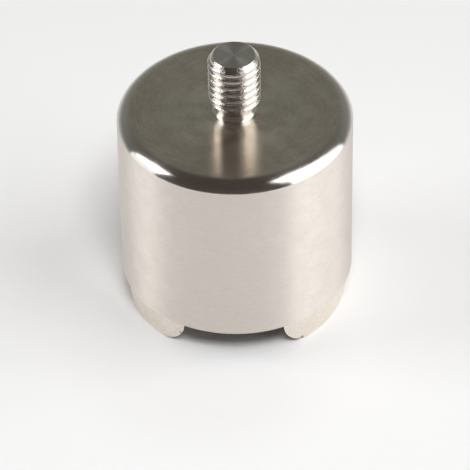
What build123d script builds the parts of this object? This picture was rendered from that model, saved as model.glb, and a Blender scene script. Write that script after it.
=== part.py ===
from build123d import *
import math
import os

# Pot magnet with a screwed stud, made to hold on round work. A turned stainless housing
# holds a block magnet between two soft-iron pole shoes. The shoes stand out of its mouth
# as two feet, and the gap between the feet seats on a tube or a bar.
#
# Millimetres. The origin is the centre of the pole faces and +Z runs up the stud. The gap
# runs along Y, and the feet lie at -X and +X.

# Housing
housing_diameter = 36.0
housing_height = 30.0  # from the rim to the top face
wall_thickness = 1.0
top_web = 5.0  # from the end of the bore to the top face
shoulder_width = 2.25  # the rounded shoulder, from the edge of the flat top out to the side
shoulder_drop = 1.45  # from the top face down to the crisp edge where it meets the side
rim_chamfer = 0.3  # outer edge of the mouth
mouth_chamfer = 0.2  # inner edge of the mouth
bore_corner_radius = 0.8  # left by the nose of the boring tool

# M8 x 1.25 stud with its standard undercut. The shank is plain at the thread's crest size.
thread_diameter = 8.0
stud_length = 10.7
tip_chamfer = 0.8
undercut_diameter = 6.0
undercut_straight = 1.0  # straight part of the neck, with its root radius
undercut_flank_angle = 30.0  # to the axis
root_radius = 0.6

# Magnet system
foot_height = 5.0  # how far the shoes stand out of the rim
pole_gap = 15.4  # between the shoes, filled by the magnet higher up
adhesive_clearance = 0.05  # between a shoe and the bore
foot_rounding = 4.3  # inner edge of each foot, where round work touches
foot_edge_break = 0.2  # outer edge of each foot
shoe_top_chamfer = 1.0  # clears the corner of the bore
magnet_length = 26.0
magnet_recess = 8.0  # from the pole faces up to the magnet
magnet_edge_break = 0.5
resin_recess = 6.0  # from the pole faces up to the resin

# Sizes worked out from the ones above
housing_radius = housing_diameter / 2
bore_radius = housing_radius - wall_thickness
thread_radius = thread_diameter / 2
neck_radius = undercut_diameter / 2
shoe_radius = bore_radius - adhesive_clearance

rim_level = foot_height
top_level = rim_level + housing_height
bore_end = top_level - top_web
shoulder_start = housing_radius - shoulder_width
shoulder_end = top_level - shoulder_drop
flank_start = top_level + undercut_straight
flank_rise = (thread_radius - neck_radius) / math.tan(math.radians(undercut_flank_angle))
flank_end = flank_start + flank_rise
tip_level = top_level + stud_length


def turned_edge(turned, radius, level):
    """The circular edge at this radius and level on a part turned about Z."""
    circles = turned.edges().filter_by(GeomType.CIRCLE)
    level_circles = circles.filter_by_position(Axis.Z, level - 0.001, level + 0.001)
    return level_circles.filter_by(lambda edge: math.isclose(edge.radius, radius, abs_tol=0.001))


# Housing: cup and stud turned from one stainless bar, so the neck runs into the top face.
# The shoulder leaves the top face smoothly and meets the side in a crisp edge.
with BuildPart() as housing:
    with BuildSketch(Plane.XZ) as half_section:
        with BuildLine():
            Polyline(
                (shoulder_start, top_level),
                (neck_radius, top_level),
                (neck_radius, flank_start),
                (thread_radius, flank_end),
                (thread_radius, tip_level),
                (0, tip_level),
                (0, bore_end),
                (bore_radius, bore_end),
                (bore_radius, rim_level),
                (housing_radius, rim_level),
                (housing_radius, shoulder_end),
            )
            TangentArc(
                (shoulder_start, top_level),
                (housing_radius, shoulder_end),
                tangent=(1, 0),
            )
        make_face()
    revolve(axis=Axis.Z)
    fillet(turned_edge(housing, neck_radius, top_level), radius=root_radius)
    fillet(turned_edge(housing, bore_radius, bore_end), radius=bore_corner_radius)
    chamfer(turned_edge(housing, thread_radius, tip_level), length=tip_chamfer)
    chamfer(turned_edge(housing, housing_radius, rim_level), length=rim_chamfer)
    chamfer(turned_edge(housing, bore_radius, rim_level), length=mouth_chamfer)

# Pole shoe at +X: a segment of round soft iron, seated on the end of the bore. Its foot is
# rounded over towards the gap, so that round work beds on two smooth lines.
with BuildPart() as pole_shoe_right:
    with BuildSketch() as shoe_outline:
        Circle(shoe_radius)
        split(bisect_by=Plane.YZ.offset(pole_gap / 2))
    extrude(amount=bore_end)
    fillet(edges().filter_by(Axis.Y).group_by(Axis.Z)[0], radius=foot_rounding)
    chamfer(edges().filter_by(GeomType.CIRCLE).sort_by(Axis.Z)[-1], length=shoe_top_chamfer)
    chamfer(edges().filter_by(GeomType.CIRCLE).sort_by(Axis.Z)[0], length=foot_edge_break)

# Pole shoe at -X: the same segment turned to face it
with BuildPart() as pole_shoe_left:
    mirror(pole_shoe_right.part, about=Plane.YZ)

# Magnet: a pressed and sintered block, gripped between the flats of the two shoes
with BuildPart() as magnet:
    with BuildSketch(Plane.XY.offset(magnet_recess)) as block_outline:
        Rectangle(pole_gap, magnet_length)
    extrude(amount=bore_end - magnet_recess)
    chamfer(magnet.edges(), length=magnet_edge_break)

# Potting: resin cast round the ends of the magnet and over its underside, flush with
# neither rim nor feet, so that it never touches the work
with BuildPart() as potting:
    with BuildSketch(Plane.XY.offset(resin_recess)) as resin_outline:
        Circle(bore_radius)
        Rectangle(pole_gap, housing_diameter, mode=Mode.INTERSECT)
    extrude(amount=bore_end - resin_recess)
    fillet(edges().filter_by(GeomType.CIRCLE).group_by(Axis.Z)[-1], radius=bore_corner_radius)
    add(magnet.part, mode=Mode.SUBTRACT)

housing.part.label = "housing"
pole_shoe_left.part.label = "pole_shoe_left"
pole_shoe_right.part.label = "pole_shoe_right"
magnet.part.label = "magnet"
potting.part.label = "potting"

os.makedirs("parts", exist_ok=True)
export_step(housing.part, "parts/housing.step")
export_step(pole_shoe_left.part, "parts/pole_shoe_left.step")
export_step(pole_shoe_right.part, "parts/pole_shoe_right.step")
export_step(magnet.part, "parts/magnet.step")
export_step(potting.part, "parts/potting.step")
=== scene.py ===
import random
from math import asin, cos, degrees, pi, radians, sin, tan

import bmesh
import bpy
from mathutils import Matrix, Vector


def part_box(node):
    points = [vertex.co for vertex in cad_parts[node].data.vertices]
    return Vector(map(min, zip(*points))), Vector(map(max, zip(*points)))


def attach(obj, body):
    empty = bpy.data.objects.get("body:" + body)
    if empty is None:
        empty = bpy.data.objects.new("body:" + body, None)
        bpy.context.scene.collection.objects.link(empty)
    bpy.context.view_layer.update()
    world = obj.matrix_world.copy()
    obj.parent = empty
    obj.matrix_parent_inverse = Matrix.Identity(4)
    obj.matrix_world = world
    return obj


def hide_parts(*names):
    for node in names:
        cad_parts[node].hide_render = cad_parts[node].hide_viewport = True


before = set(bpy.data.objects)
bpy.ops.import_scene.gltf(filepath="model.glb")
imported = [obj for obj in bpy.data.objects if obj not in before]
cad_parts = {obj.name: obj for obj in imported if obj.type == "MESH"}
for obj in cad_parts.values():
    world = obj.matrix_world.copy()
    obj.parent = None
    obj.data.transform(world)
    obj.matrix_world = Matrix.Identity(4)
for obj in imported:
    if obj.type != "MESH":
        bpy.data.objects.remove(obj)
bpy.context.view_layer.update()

MM = 0.001
scene = bpy.context.scene

# Housing
# A cup and its M8 stud, turned from one bar of stainless steel. The side is ground to a satin,
# the top is faced bright with a soft shoulder, and the thread runs out on a neck of 6 mm. The
# thread's crests are polished round, so it is shallower than a sharp one.

housing_low, housing_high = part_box("housing")
rim_level = housing_low.z
tip_level = housing_high.z
housing_radius = 18.0 * MM
stud_length = 10.7 * MM
top_level = tip_level - stud_length
shoulder_width = 2.25 * MM
shoulder_drop = 1.45 * MM
edge_level = top_level - shoulder_drop
bore_radius = 17.0 * MM
top_web = 5.0 * MM
bore_end = top_level - top_web
bore_corner_radius = 0.8 * MM
rim_chamfer = 0.3 * MM
mouth_chamfer = 0.2 * MM
neck_radius = 3.0 * MM
neck_straight = 1.0 * MM
neck_top = top_level + neck_straight
neck_flank_angle = radians(30)  # to the axis
root_radius = 0.6 * MM
crest_radius = 4.0 * MM
tip_chamfer = 0.8 * MM
tip_radius = crest_radius - tip_chamfer
thread_pitch = 1.25 * MM
thread_root_radius = 3.55 * MM
half_thread_angle = radians(30)
support = 0.03 * MM  # rings this close to each rounding keep the flats beside it flat
middle_ring = 10.0 * MM  # rings that divide the wide flats
bore_ring = 3.0 * MM
tip_ring = 1.5 * MM
steps_round = 144
steps_per_pitch = 24
merge_distance = 0.002 * MM
turned_edge_angle = radians(18)  # a bend sharper than this is an edge


def arc(centre, radius, start, end, steps):
    """Points (r, z) along an arc in the half section, from one angle to another, in degrees."""
    points = []
    for step in range(steps + 1):
        angle = radians(start + (end - start) * step / steps)
        points.append((centre[0] + radius * cos(angle), centre[1] + radius * sin(angle)))
    return points


def mesh_of(shape, name):
    """A mesh made from a bmesh, which is freed."""
    mesh = bpy.data.meshes.new(name)
    shape.to_mesh(mesh)
    shape.free()
    return mesh


def turned_rings(name, chain, steps, closed_ends=(False, False)):
    """A mesh turned about Z from a chain of (r, z) points. A closed end is filled at its centre."""
    shape = bmesh.new()
    rings = []
    for radius, level in chain:
        ring = []
        for step in range(steps):
            angle = 2 * pi * step / steps
            ring.append(shape.verts.new((radius * cos(angle), radius * sin(angle), level)))
        rings.append(ring)
    for lower, upper in zip(rings, rings[1:]):
        for step in range(steps):
            after = (step + 1) % steps
            shape.faces.new((lower[step], lower[after], upper[after], upper[step]))
    for end, closed in zip((0, -1), closed_ends):
        if closed:
            centre = shape.verts.new((0, 0, chain[end][1]))
            ring = rings[end]
            for step in range(steps):
                shape.faces.new((ring[step], ring[(step + 1) % steps], centre))
    bmesh.ops.recalc_face_normals(shape, faces=shape.faces)
    return mesh_of(shape, name)


def new_object(name, mesh):
    piece = bpy.data.objects.new(name, mesh)
    scene.collection.objects.link(piece)
    return piece


def applied(name, piece):
    """The piece's mesh with its modifiers applied. The piece itself is taken away."""
    depsgraph = bpy.context.evaluated_depsgraph_get()
    mesh = bpy.data.meshes.new_from_object(piece.evaluated_get(depsgraph))
    mesh.name = name
    bpy.data.objects.remove(piece)
    return mesh


def tree_input(tree, name, kind):
    return tree.interface.new_socket(name, in_out="INPUT", socket_type=kind).identifier


def fill(tree, socket, value):
    """Sets a socket to a number or a colour, or links it to another socket."""
    if isinstance(value, bpy.types.NodeSocket):
        tree.links.new(value, socket)
    else:
        socket.default_value = value


def maths(tree, operation, *values):
    node = tree.nodes.new("ShaderNodeMath")
    node.operation = operation
    for socket, value in zip(node.inputs, values):
        fill(tree, socket, value)
    return node.outputs[0]


def new_material(name, metallic, anisotropy=0.0):
    """A material, its tree and its shader. Its highlights stretch across marks round the axis."""
    material = bpy.data.materials.new(name)
    material.use_nodes = True
    tree = material.node_tree
    shader = tree.nodes["Principled BSDF"]
    shader.inputs["Metallic"].default_value = metallic
    if anisotropy:
        shader.inputs["Anisotropic"].default_value = anisotropy
        shader.inputs["Anisotropic Rotation"].default_value = 0.25
        tangent = tree.nodes.new("ShaderNodeTangent")
        tangent.direction_type = "RADIAL"
        tangent.axis = "Z"
        tree.links.new(tangent.outputs[0], shader.inputs["Tangent"])
    return material, tree, shader


def object_place(tree):
    """Object coordinates, as one vector."""
    return tree.nodes.new("ShaderNodeTexCoord").outputs["Object"]


def split_axes(tree, vector):
    """The X, Y and Z of a vector."""
    split = tree.nodes.new("ShaderNodeSeparateXYZ")
    tree.links.new(vector, split.inputs[0])
    return split.outputs


def noise(tree, vector, grain, detail=2.0, stretch=(1, 1, 1)):
    """Noise whose patches are about as large as the grain. A stretch under 1 draws them out."""
    mapping = tree.nodes.new("ShaderNodeMapping")
    mapping.inputs["Scale"].default_value = stretch
    tree.links.new(vector, mapping.inputs["Vector"])
    texture = tree.nodes.new("ShaderNodeTexNoise")
    texture.inputs["Scale"].default_value = 1 / grain
    texture.inputs["Detail"].default_value = detail
    tree.links.new(mapping.outputs[0], texture.inputs["Vector"])
    return texture.outputs["Factor" if "Factor" in texture.outputs else "Fac"]


def spread(tree, value, low, high, from_low=0.3, from_high=0.7):
    """Maps a value to a range, and clamps it there. Noise mostly lies between 0.3 and 0.7."""
    node = tree.nodes.new("ShaderNodeMapRange")
    limits = {"From Min": from_low, "From Max": from_high, "To Min": low, "To Max": high}
    for name, limit in limits.items():
        fill(tree, node.inputs[name], limit)
    tree.links.new(value, node.inputs["Value"])
    return node.outputs[0]


def mix(tree, share, first, second):
    """From the first colour to the second. Both are sockets or (r, g, b)."""
    node = tree.nodes.new("ShaderNodeMix")
    node.data_type = "RGBA"
    fill(tree, node.inputs[0], share)
    for socket, colour in zip(node.inputs[6:8], (first, second)):
        fill(tree, socket, (*colour, 1) if isinstance(colour, tuple) else colour)
    return node.outputs[2]


def bump(tree, shader, height, depth):
    node = tree.nodes.new("ShaderNodeBump")
    node.inputs["Distance"].default_value = depth
    tree.links.new(height, node.inputs["Height"])
    tree.links.new(node.outputs[0], shader.inputs["Normal"])


def step_up(tree, value, level, below, above, width=0.2 * MM):
    """One result below a level and another above it, with a blend of this width between."""
    return spread(tree, value, below, above, level - width / 2, level + width / 2)


# Steel. Marks run round the axis: ground ones on the side, facing marks on the top and the tip.
# The shoulder and the thread are polished, and the top is painted lighter in patches by the stud, a
# painted sheen.
stud_foot = top_level + 0.15 * MM
tip_rim = tip_level - 0.1 * MM
polish_radius = 16.1 * MM  # the faced top gives way to the polished shoulder here
polish_blend = 0.7 * MM
# The painted sheen on the top reaches this far from the axis, and fades out over the blend
sheen_radius = 9.0 * MM
sheen_blend = 7.0 * MM
ring_squeeze = 9.0  # packs the noise along the radius, so that it draws out into rings
side_roughness = 0.40
top_roughness = 0.205

steel, tree, shader = new_material("turned_stainless", 1.0, anisotropy=0.9)
vector = object_place(tree)
x, y, height = split_axes(tree, vector)
radius_out = maths(tree, "ADD", maths(tree, "MULTIPLY", x, x), maths(tree, "MULTIPLY", y, y))
radius_out = maths(tree, "SQRT", radius_out)
rings = tree.nodes.new("ShaderNodeCombineXYZ")
packed_radius = maths(tree, "MULTIPLY", radius_out, ring_squeeze)
for socket, value in zip(rings.inputs, (packed_radius, x, y)):
    tree.links.new(value, socket)
ground = noise(tree, vector, 1.3 * MM, detail=5, stretch=(1, 1, 6))
faced = noise(tree, rings.outputs[0], 1.8 * MM, detail=4)
on_top = step_up(tree, height, edge_level, 0.0, 1.0)
marks = maths(tree, "ADD", maths(tree, "MULTIPLY", ground, maths(tree, "SUBTRACT", 1.0, on_top)),
              maths(tree, "MULTIPLY", faced, on_top))
blotches = noise(tree, vector, 2.6 * MM, detail=4)
specks = noise(tree, vector, 0.35 * MM, detail=3)
spots = maths(tree, "ADD", maths(tree, "MULTIPLY", blotches, 0.35),
              maths(tree, "MULTIPLY", specks, 0.3))
tone = maths(tree, "ADD", maths(tree, "MULTIPLY", marks, 0.35), spots)
paleness = spread(tree, tone, 0.0, 1.0, 0.4, 0.6)

# Only the neck lies between the stud's foot and its tip, as the thread has its own steel
on_tip = step_up(tree, height, tip_rim, 0.0, 1.0)
above_top = step_up(tree, height, stud_foot, 0.0, 1.0)
neck = maths(tree, "MULTIPLY", maths(tree, "SUBTRACT", 1.0, on_tip), above_top)
past_polish = step_up(tree, radius_out, polish_radius, 0.0, 1.0, polish_blend)
# Painted sheen: patches of the top near the stud are painted lighter, where its facing marks would
# catch the light
painted_sheen = spread(tree, noise(tree, vector, 5.0 * MM, detail=2), 0.0, 1.0, 0.42, 0.62)
painted_sheen = maths(tree, "MULTIPLY", painted_sheen, step_up(tree, radius_out, sheen_radius, 1.0, 0.0, sheen_blend))

side_colour = mix(tree, paleness, (0.81, 0.742, 0.685), (0.88, 0.82, 0.765))
top_colour = mix(tree, paleness, (0.61, 0.55, 0.47), (0.75, 0.69, 0.61))
# The painted sheen lightens the top's colour near the stud
top_colour = mix(tree, painted_sheen, top_colour, (0.84, 0.80, 0.73))
top_colour = mix(tree, past_polish, top_colour, (0.68, 0.65, 0.62))
# The neck is painted paler than the top, a painted highlight standing in for the soft boxes' light
# wrapping round it
top_colour = mix(tree, neck, top_colour, (0.88, 0.85, 0.82))
colour = mix(tree, on_tip, mix(tree, on_top, side_colour, top_colour), (0.65, 0.62, 0.60))
tree.links.new(colour, shader.inputs["Base Color"])

# The tip and the neck are rougher than the top, and the shoulder is smoother
polished = maths(tree, "MULTIPLY", on_top, past_polish)
roughness = step_up(tree, height, edge_level, side_roughness, top_roughness)
roughness = maths(tree, "ADD", roughness, maths(tree, "MULTIPLY", on_tip, 0.07))
roughness = maths(tree, "ADD", roughness, spread(tree, tone, -0.03, 0.03, 0.4, 0.6))
roughness = maths(tree, "SUBTRACT", roughness, maths(tree, "MULTIPLY", polished, 0.03))
roughness = maths(tree, "ADD", roughness, maths(tree, "MULTIPLY", neck, 0.1))
tree.links.new(roughness, shader.inputs["Roughness"])
bump(tree, shader, marks, 0.003 * MM)

# The thread shows drag marks along the cut, and small tears on its flanks
thread_steel, tree, shader = new_material("threaded_stainless", 1.0, anisotropy=0.5)
vector = object_place(tree)
drag = noise(tree, vector, 1.0 * MM, detail=4, stretch=(1, 1, 8))
colour = mix(tree, spread(tree, drag, 0.0, 1.0), (0.60, 0.56, 0.51), (0.74, 0.70, 0.66))
tree.links.new(colour, shader.inputs["Base Color"])
tree.links.new(spread(tree, drag, 0.15, 0.24), shader.inputs["Roughness"])
torn = noise(tree, vector, 0.3 * MM, detail=3, stretch=(1, 1, 1.6))
torn = maths(tree, "MULTIPLY", spread(tree, torn, 0.0, 1.0, 0.45, 0.75), 0.02)
bump(tree, shader, maths(tree, "ADD", maths(tree, "MULTIPLY", drag, 0.01), torn), 1.0 * MM)

# The shoulder's arc leaves the flat top smoothly and meets the side in a crisp edge
shoulder_radius = (shoulder_width ** 2 + shoulder_drop ** 2) / (2 * shoulder_drop)
shoulder = (housing_radius - shoulder_width, top_level - shoulder_radius)
shoulder_end = degrees(asin((shoulder_radius - shoulder_drop) / shoulder_radius))
bore_corner = (bore_radius - bore_corner_radius, bore_end - bore_corner_radius)
root = (neck_radius + root_radius, top_level + root_radius)

cup_chain = [(bore_ring, bore_end), (middle_ring, bore_end), (bore_corner[0] - support, bore_end)]
cup_chain += arc(bore_corner, bore_corner_radius, 90, 0, 8)
cup_chain += [
    (bore_radius, bore_corner[1] - support),
    (bore_radius, rim_level + mouth_chamfer),
    (bore_radius + mouth_chamfer, rim_level),
    (housing_radius - rim_chamfer, rim_level),
    (housing_radius, rim_level + rim_chamfer),
    (housing_radius, edge_level - support),
]
cup_chain += arc(shoulder, shoulder_radius, shoulder_end, 90, 20)
cup_chain += [
    (shoulder[0] - support, top_level),
    (middle_ring, top_level),
    (root[0] + support, top_level),
]
cup_chain += arc(root, root_radius, 270, 180, 8)
cup_chain += [(neck_radius, neck_top)]
cup = turned_rings("housing_cup", cup_chain, steps_round, closed_ends=(True, False))
tip_chain = [(tip_radius, tip_level), (tip_ring, tip_level)]
tip = turned_rings("housing_tip", tip_chain, steps_round, closed_ends=(False, True))

# The thread's surface is a grid that climbs the helix, so that crest and root run along its
# rows. Its ends are held to the neck and to the tip, where rows fold into the rings there.
thread_tree = bpy.data.node_groups.new("cut_thread", "GeometryNodeTree")
thread_tree.interface.new_socket("Geometry", in_out="OUTPUT", socket_type="NodeSocketGeometry")
thread_sizes = {
    "Crest radius": crest_radius,
    "Root radius": thread_root_radius,
    "Neck radius": neck_radius,
    "Tip radius": tip_radius,
    "Pitch": thread_pitch,
    "Start level": neck_top,
    "End level": tip_level,
    "Crest width": 0.18 * MM,
    "Crest at": 0.51 * MM,
    "Crest softness": 0.38 * MM,
    "Root softness": 0.3 * MM,
}
thread_counts = {"Steps round": steps_round, "Steps per pitch": steps_per_pitch}
thread_ids = {}
for input_name in thread_sizes:
    thread_ids[input_name] = tree_input(thread_tree, input_name, "NodeSocketFloat")
for input_name in thread_counts:
    thread_ids[input_name] = tree_input(thread_tree, input_name, "NodeSocketInt")
thread_ids["Material"] = tree_input(thread_tree, "Material", "NodeSocketMaterial")

nodes = thread_tree.nodes
links = thread_tree.links
sizes = nodes.new("NodeGroupInput").outputs


def thread_maths(operation, *values):
    return maths(thread_tree, operation, *values)


threaded_length = thread_maths("SUBTRACT", sizes["End level"], sizes["Start level"])
pitches = thread_maths("DIVIDE", threaded_length, sizes["Pitch"])
turns = thread_maths("CEIL", thread_maths("ADD", pitches, 1.0))
rows = thread_maths("ADD", thread_maths("MULTIPLY", turns, sizes["Steps per pitch"]), 1.0)
grid = nodes.new("GeometryNodeMeshGrid")
grid.inputs["Size X"].default_value = 1.0
grid.inputs["Size Y"].default_value = 1.0
links.new(thread_maths("ADD", sizes["Steps round"], 1.0), grid.inputs["Vertices X"])
links.new(rows, grid.inputs["Vertices Y"])
place_parts = nodes.new("ShaderNodeSeparateXYZ")
links.new(nodes.new("GeometryNodeInputPosition").outputs[0], place_parts.inputs[0])
round_part = thread_maths("ADD", place_parts.outputs["X"], 0.5)
climb_part = thread_maths("ADD", place_parts.outputs["Y"], 0.5)
angle = thread_maths("MULTIPLY", round_part, 2 * pi)

# Height climbs one pitch in a turn, and starts one pitch low so that the first turn is whole
climb = thread_maths("SUBTRACT", thread_maths("MULTIPLY", climb_part, turns), 1.0)
level = thread_maths("MULTIPLY", thread_maths("ADD", climb, round_part), sizes["Pitch"])
level = thread_maths("ADD", level, sizes["Start level"])
level = thread_maths("MAXIMUM", level, sizes["Start level"])
level = thread_maths("MINIMUM", level, sizes["End level"])

# The two flanks, 60 degrees apart, run into a rounded crest and a rounded root
along = thread_maths("SUBTRACT", thread_maths("MULTIPLY", climb, sizes["Pitch"]), sizes["Crest at"])
from_crest = thread_maths("PINGPONG", along, thread_maths("MULTIPLY", sizes["Pitch"], 0.5))
half_crest = thread_maths("MULTIPLY", sizes["Crest width"], 0.5)
past_crest = thread_maths("SUBTRACT", from_crest, half_crest)
flank_depth = thread_maths("DIVIDE", past_crest, tan(half_thread_angle))
flank = thread_maths("SUBTRACT", sizes["Crest radius"], flank_depth)
radius = thread_maths("SMOOTH_MIN", flank, sizes["Crest radius"], sizes["Crest softness"])
radius = thread_maths("SMOOTH_MAX", radius, sizes["Root radius"], sizes["Root softness"])

# The neck's 30 degree flank and the tip's 45 degree chamfer cut across the thread
over_neck = thread_maths("SUBTRACT", level, sizes["Start level"])
flank_reach = thread_maths("MULTIPLY", over_neck, tan(neck_flank_angle))
neck_flank = thread_maths("ADD", flank_reach, sizes["Neck radius"])
under_tip = thread_maths("SUBTRACT", sizes["End level"], level)
radius = thread_maths("MINIMUM", radius, neck_flank)
radius = thread_maths("MINIMUM", radius, thread_maths("ADD", under_tip, sizes["Tip radius"]))

position = nodes.new("ShaderNodeCombineXYZ")
links.new(thread_maths("MULTIPLY", radius, thread_maths("COSINE", angle)), position.inputs["X"])
links.new(thread_maths("MULTIPLY", radius, thread_maths("SINE", angle)), position.inputs["Y"])
links.new(level, position.inputs["Z"])
set_position = nodes.new("GeometryNodeSetPosition")
links.new(grid.outputs["Mesh"], set_position.inputs["Geometry"])
links.new(position.outputs[0], set_position.inputs["Position"])
realize = nodes.new("GeometryNodeRealizeInstances")
links.new(set_position.outputs[0], realize.inputs[0])
set_material = nodes.new("GeometryNodeSetMaterial")
links.new(realize.outputs[0], set_material.inputs["Geometry"])
links.new(sizes["Material"], set_material.inputs["Material"])
links.new(set_material.outputs[0], nodes.new("NodeGroupOutput").inputs[0])

thread_blank = new_object("housing_thread", bpy.data.meshes.new("housing_thread"))
threading = thread_blank.modifiers.new("cut_thread", "NODES")
threading.node_group = thread_tree
for input_name, value in {**thread_sizes, **thread_counts, "Material": thread_steel}.items():
    threading[thread_ids[input_name]] = value
thread = applied("housing_thread", thread_blank)

# Cup, thread and tip become one closed skin
skin = bmesh.new()
skin.from_mesh(cup)
skin.from_mesh(tip)
turned_faces = len(skin.faces)
skin.from_mesh(thread)
skin.faces.ensure_lookup_table()
for face in skin.faces[turned_faces:]:
    face.material_index = 1
bmesh.ops.remove_doubles(skin, verts=skin.verts, dist=merge_distance)
bmesh.ops.recalc_face_normals(skin, faces=skin.faces)
housing_mesh = mesh_of(skin, "housing_turned")
housing_mesh.materials.append(steel)
housing_mesh.materials.append(thread_steel)
housing_mesh.shade_smooth()
housing_mesh.set_sharp_from_angle(angle=turned_edge_angle)
housing = new_object("housing_turned", housing_mesh)
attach(housing, "root")
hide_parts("housing")

# Pole shoes
# Two segments of round soft iron, one to each pole of the magnet, glued into the bore and
# nickel plated. Their feet stand out of the rim, rounded over towards the gap, and the edge is
# a little chipped where the rounding meets the front.

shoe_radius = 16.95 * MM
pole_gap = 15.4 * MM
foot_rounding = 4.3 * MM
foot_edge_break = 0.2 * MM
shoe_top_chamfer = 1.0 * MM
past_end = 2.0 * MM  # how far a cutting prism runs past the round bar
bar_steps = 240
cut_edge_angle = radians(25)
lump_jitter = (0.75, 1.2)


def boolean(name, mesh, cutter_mesh, operation):
    """One mesh cut by another, or kept only where it lies inside the other."""
    piece = new_object(name, mesh)
    cutter = new_object(name + "_cutter", cutter_mesh)
    cut = piece.modifiers.new("cut", "BOOLEAN")
    cut.operation = operation
    cut.solver = "EXACT"
    cut.object = cutter
    result = applied(name, piece)
    bpy.data.objects.remove(cutter)
    return result


def prism(name, outline, reach):
    """A closed prism along Y, from -reach to reach, over an outline of (x, z) points."""
    shape = bmesh.new()
    near = [shape.verts.new((x, -reach, z)) for x, z in outline]
    far = [shape.verts.new((x, reach, z)) for x, z in outline]
    shape.faces.new(near)
    shape.faces.new(far)
    for step in range(len(outline)):
        after = (step + 1) % len(outline)
        shape.faces.new((near[step], near[after], far[after], far[step]))
    bmesh.ops.recalc_face_normals(shape, faces=shape.faces)
    return mesh_of(shape, name)


def lumps(name, lump_places, seed):
    """Jittered balls to cut out of a piece, each at a place (x, y, z) with a size, in mm."""
    draw = random.Random(seed)
    shape = bmesh.new()
    for x, y, z, size in lump_places:
        for point in bmesh.ops.create_icosphere(shape, subdivisions=2, radius=size * MM)["verts"]:
            point.co = point.co * draw.uniform(*lump_jitter) + Vector((x, y, z)) * MM
    return mesh_of(shape, name)


nickel, tree, shader = new_material("nickel_plate", 1.0)
vector = object_place(tree)
grain = noise(tree, vector, 0.3 * MM, detail=3)
cloud = noise(tree, vector, 3.0 * MM, detail=2)
tint = mix(tree, spread(tree, cloud, 0.0, 1.0), (0.92, 0.86, 0.78), (0.95, 0.91, 0.86))
colour = mix(tree, spread(tree, grain, 0.0, 0.5), tint, (0.74, 0.66, 0.57))
tree.links.new(colour, shader.inputs["Base Color"])
tree.links.new(spread(tree, grain, 0.48, 0.62), shader.inputs["Roughness"])
bump(tree, shader, grain, 0.02 * MM)

bar_chain = arc((shoe_radius - foot_edge_break, foot_edge_break), foot_edge_break, -90, 0, 4)
bar_chain += [
    (shoe_radius, bore_end - shoe_top_chamfer),
    (shoe_radius - shoe_top_chamfer, bore_end),
]
bar = turned_rings("pole_shoe_bar", bar_chain, bar_steps, closed_ends=(True, True))
foot_corner = (pole_gap / 2 + foot_rounding, foot_rounding)
shoe_outline = arc(foot_corner, foot_rounding, 180, 270, 16) + [
    (foot_corner[0], -past_end),
    (shoe_radius + past_end, -past_end),
    (shoe_radius + past_end, bore_end + past_end),
    (pole_gap / 2, bore_end + past_end),
]
# Chips stay clear of each other: (x, y, z, size) in mm
shoe_chips = {
    "pole_shoe_left": (
        (-8.3, -14.8, 2.55, 0.28),
        (-8.85, -14.5, 3.05, 0.13),
        (-9.05, -14.37, 2.2, 0.13),
        (-9.9, -13.8, 1.5, 0.14),
        (-10.6, -13.28, 1.45, 0.12),
    ),
    "pole_shoe_right": (
        (10.5, -13.4, 0.45, 0.36),
        (11.1, -12.85, 0.1, 0.22),
        (9.3, -14.2, 1.7, 0.13),
        (8.7, -14.6, 2.4, 0.12),
    ),
}
for side, shoe_name in ((-1, "pole_shoe_left"), (1, "pole_shoe_right")):
    outline = [(side * x, z) for x, z in shoe_outline]
    half = prism(shoe_name + "_half", outline, shoe_radius + past_end)
    blank = boolean(shoe_name + "_blank", bar, half, "INTERSECT")
    chips = lumps(shoe_name + "_chips", shoe_chips[shoe_name], seed=3)
    shoe_mesh = boolean(shoe_name + "_plated", blank, chips, "DIFFERENCE")
    shoe_mesh.materials.clear()
    shoe_mesh.materials.append(nickel)
    shoe_mesh.shade_smooth()
    shoe_mesh.set_sharp_from_angle(angle=cut_edge_angle)
    shoe = new_object(shoe_name + "_plated", shoe_mesh)
    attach(shoe, "root")
    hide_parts(shoe_name)

# Magnet
# A block of sintered rare-earth magnet, pressed, ground and gripped between the flats of the
# shoes. The resin and the shoes close it in on all sides.

sinter, tree, shader = new_material("sintered_magnet", 0.9)
sinter_grain = noise(tree, object_place(tree), 0.25 * MM, detail=4)
colour = mix(tree, spread(tree, sinter_grain, 0.0, 1.0), (0.30, 0.30, 0.31), (0.45, 0.45, 0.46))
tree.links.new(colour, shader.inputs["Base Color"])
tree.links.new(spread(tree, sinter_grain, 0.45, 0.65), shader.inputs["Roughness"])
bump(tree, shader, sinter_grain, 0.02 * MM)
magnet_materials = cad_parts["magnet"].data.materials
magnet_materials.clear()
magnet_materials.append(sinter)

# Potting
# Black casting resin, poured round the ends of the magnet and over its underside. It climbed
# the shoes a little as it set, so its face is hollow between them, and it holds a few bubbles.

resin_low, resin_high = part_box("potting")
magnet_low, magnet_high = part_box("magnet")
hollow = 0.4 * MM
hollow_steps = 24
hollow_power = 6  # a high power keeps the face flat, apart from where it climbs the shoes
pocket_overshoot = 1.0 * MM
bubbles = (
    (-3.1, -9.0, 6.4, 0.28),
    (2.2, -12.4, 6.4, 0.2),
    (4.6, 3.5, 6.35, 0.24),
    (-1.4, 8.2, 6.45, 0.3),
    (3.4, 11.6, 6.4, 0.18),
    (-5.2, 1.4, 6.3, 0.2),
)

resin, tree, shader = new_material("potting_resin", 0.0)
cast = noise(tree, object_place(tree), 1.6 * MM, detail=4)
colour = mix(tree, spread(tree, cast, 0.0, 1.0), (0.020, 0.020, 0.022), (0.040, 0.039, 0.041))
tree.links.new(colour, shader.inputs["Base Color"])
tree.links.new(spread(tree, cast, 0.32, 0.5), shader.inputs["Roughness"])
bump(tree, shader, cast, 0.02 * MM)

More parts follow.
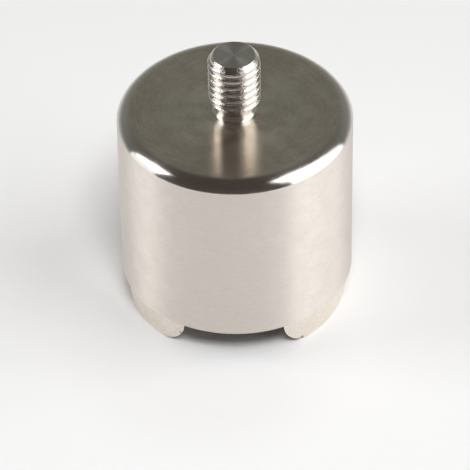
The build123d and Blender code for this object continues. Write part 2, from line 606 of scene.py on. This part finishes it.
resin_chain = [
    (bore_radius, resin_low.z - past_end),
    (bore_radius, resin_high.z - bore_corner_radius),
]
resin_chain += arc(bore_corner, bore_corner_radius, 0, 90, 8)
resin_plug = turned_rings("potting_plug", resin_chain, bar_steps, closed_ends=(True, True))
face = []
for step in range(hollow_steps + 1):
    across = 2 * step / hollow_steps - 1
    face.append((across * pole_gap / 2, resin_low.z + hollow * (1 - across ** hollow_power)))
resin_outline = face + [
    (pole_gap / 2, resin_high.z + past_end),
    (-pole_gap / 2, resin_high.z + past_end),
]
strip = prism("potting_strip", resin_outline, bore_radius + past_end)
resin_mesh = boolean("potting_strip", resin_plug, strip, "INTERSECT")
pocket_outline = [
    (magnet_low.x - pocket_overshoot, magnet_low.z),
    (magnet_high.x + pocket_overshoot, magnet_low.z),
    (magnet_high.x + pocket_overshoot, magnet_high.z + pocket_overshoot),
    (magnet_low.x - pocket_overshoot, magnet_high.z + pocket_overshoot),
]
pocket = prism("potting_pocket", pocket_outline, magnet_high.y)
resin_mesh = boolean("potting_pocket", resin_mesh, pocket, "DIFFERENCE")
resin_bubbles = lumps("potting_bubbles", bubbles, seed=5)
resin_mesh = boolean("potting_cast", resin_mesh, resin_bubbles, "DIFFERENCE")
resin_mesh.materials.clear()
resin_mesh.materials.append(resin)
resin_mesh.shade_smooth()
resin_mesh.set_sharp_from_angle(angle=cut_edge_angle)
potting = new_object("potting_cast", resin_mesh)
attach(potting, "root")
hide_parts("potting")

# Floor
# A pale matt table, many times larger than the object.

floor_reach = 3.0
floor_mesh = bpy.data.meshes.new("floor")
floor_corners = [(-floor_reach, -floor_reach, 0), (floor_reach, -floor_reach, 0),
                 (floor_reach, floor_reach, 0), (-floor_reach, floor_reach, 0)]
floor_mesh.from_pydata(floor_corners, [], [(0, 1, 2, 3)])
white, _, shader = new_material("floor_white", 0.0)
shader.inputs["Base Color"].default_value = (0.82, 0.825, 0.83, 1)
shader.inputs["Roughness"].default_value = 0.9
floor_mesh.materials.append(white)
floor = new_object("floor", floor_mesh)

# Light
# A soft box stands at each side, brighter in its upper part. Two smaller lamps hang over the
# front and the back of the table. Metal doesn't show those two. It shows the dark room above.

softbox_distance = 0.6  # from the Z axis, in metres like every size of a lamp
overhead_side = 0.4
overhead_shift = 0.13
overhead_height = 1.15
dark_room = (0.078, 0.062, 0.054)
room_behind = (0.240, 0.250, 0.225)
table_glow = (0.50, 0.49, 0.46)


def lamp(name, width, height, radiance):
    """A rectangular lamp that the camera doesn't see. Its size doesn't change its radiance."""
    data = bpy.data.lights.new(name, "AREA")
    data.shape = "RECTANGLE"
    data.size = width
    data.size_y = height
    data.energy = radiance * pi * width * height
    box = new_object(name, data)
    box.visible_camera = False
    return box


def softbox(name, side, y_near, y_far, z_low, z_high, radiance):
    """An upright lamp at the left (-1) or the right (1), which faces the Z axis."""
    box = lamp(name, y_far - y_near, z_high - z_low, radiance)
    # The lamp shines along its own -Z, and its width lies along Y
    turn = Matrix(((0, 0, side), (side, 0, 0), (0, 1, 0))).to_4x4()
    middle = (side * softbox_distance, (y_near + y_far) / 2, (z_low + z_high) / 2)
    box.matrix_world = Matrix.Translation(middle) @ turn


softbox("softbox_left", -1, y_near=-0.2, y_far=0.13, z_low=0.3, z_high=0.77, radiance=3.8)
softbox("softbox_left_foot", -1, y_near=-0.2, y_far=0.13, z_low=0.0, z_high=0.3, radiance=1.2)
softbox("softbox_right", 1, y_near=-0.54, y_far=0.24, z_low=0.6, z_high=1.6, radiance=2.45)
softbox("softbox_right_foot", 1, y_near=-0.48, y_far=0.24, z_low=0.0, z_high=0.6, radiance=1.8)
for place, y, radiance in (("front", -0.7, 23.5), ("back", 0.62, 3.0)):
    overhead = lamp("overhead_" + place, overhead_side, overhead_side, radiance)
    overhead.location = (overhead_shift, y, overhead_height)
    overhead.visible_glossy = False

# The room is dark brown overhead and towards the camera, and an olive grey behind the object
# that gets lighter towards the table.
world = bpy.data.worlds.new("studio")
world.use_nodes = True
tree = world.node_tree
view_vector = tree.nodes.new("ShaderNodeTexCoord").outputs["Generated"]
_, back, up = split_axes(tree, view_vector)
behind = spread(tree, back, 0.0, 1.0, -0.1, 0.75)
below_top = spread(tree, up, 1.0, 0.0, 0.5, 0.95)
near_table = spread(tree, up, 1.0, 0.0, 0.0, 0.25)
room = mix(tree, maths(tree, "MULTIPLY", behind, below_top), dark_room, room_behind)
room = mix(tree, maths(tree, "MULTIPLY", behind, near_table), room, table_glow)
tree.links.new(room, tree.nodes["Background"].inputs["Color"])
scene.world = world

# Camera
view_azimuth = radians(2.35)
view_elevation = radians(41.51)
view_roll = radians(-0.90)
view_distance = 578.0 * MM
aim = Vector((-0.26, 0, 9.64)) * MM
camera_data = bpy.data.cameras.new("camera")
camera_data.lens = 283.1
camera_data.sensor_width = 36.0
camera_data.clip_start = 0.01
camera = new_object("camera", camera_data)
camera.matrix_world = (
    Matrix.Rotation(view_azimuth, 4, "Z")
    @ Matrix.Translation(aim)
    @ Matrix.Rotation(pi / 2 - view_elevation, 4, "X")
    @ Matrix.Rotation(view_roll, 4, "Z")
    @ Matrix.Translation((0, 0, view_distance))
)
scene.camera = camera
scene.view_settings.view_transform = "Standard"
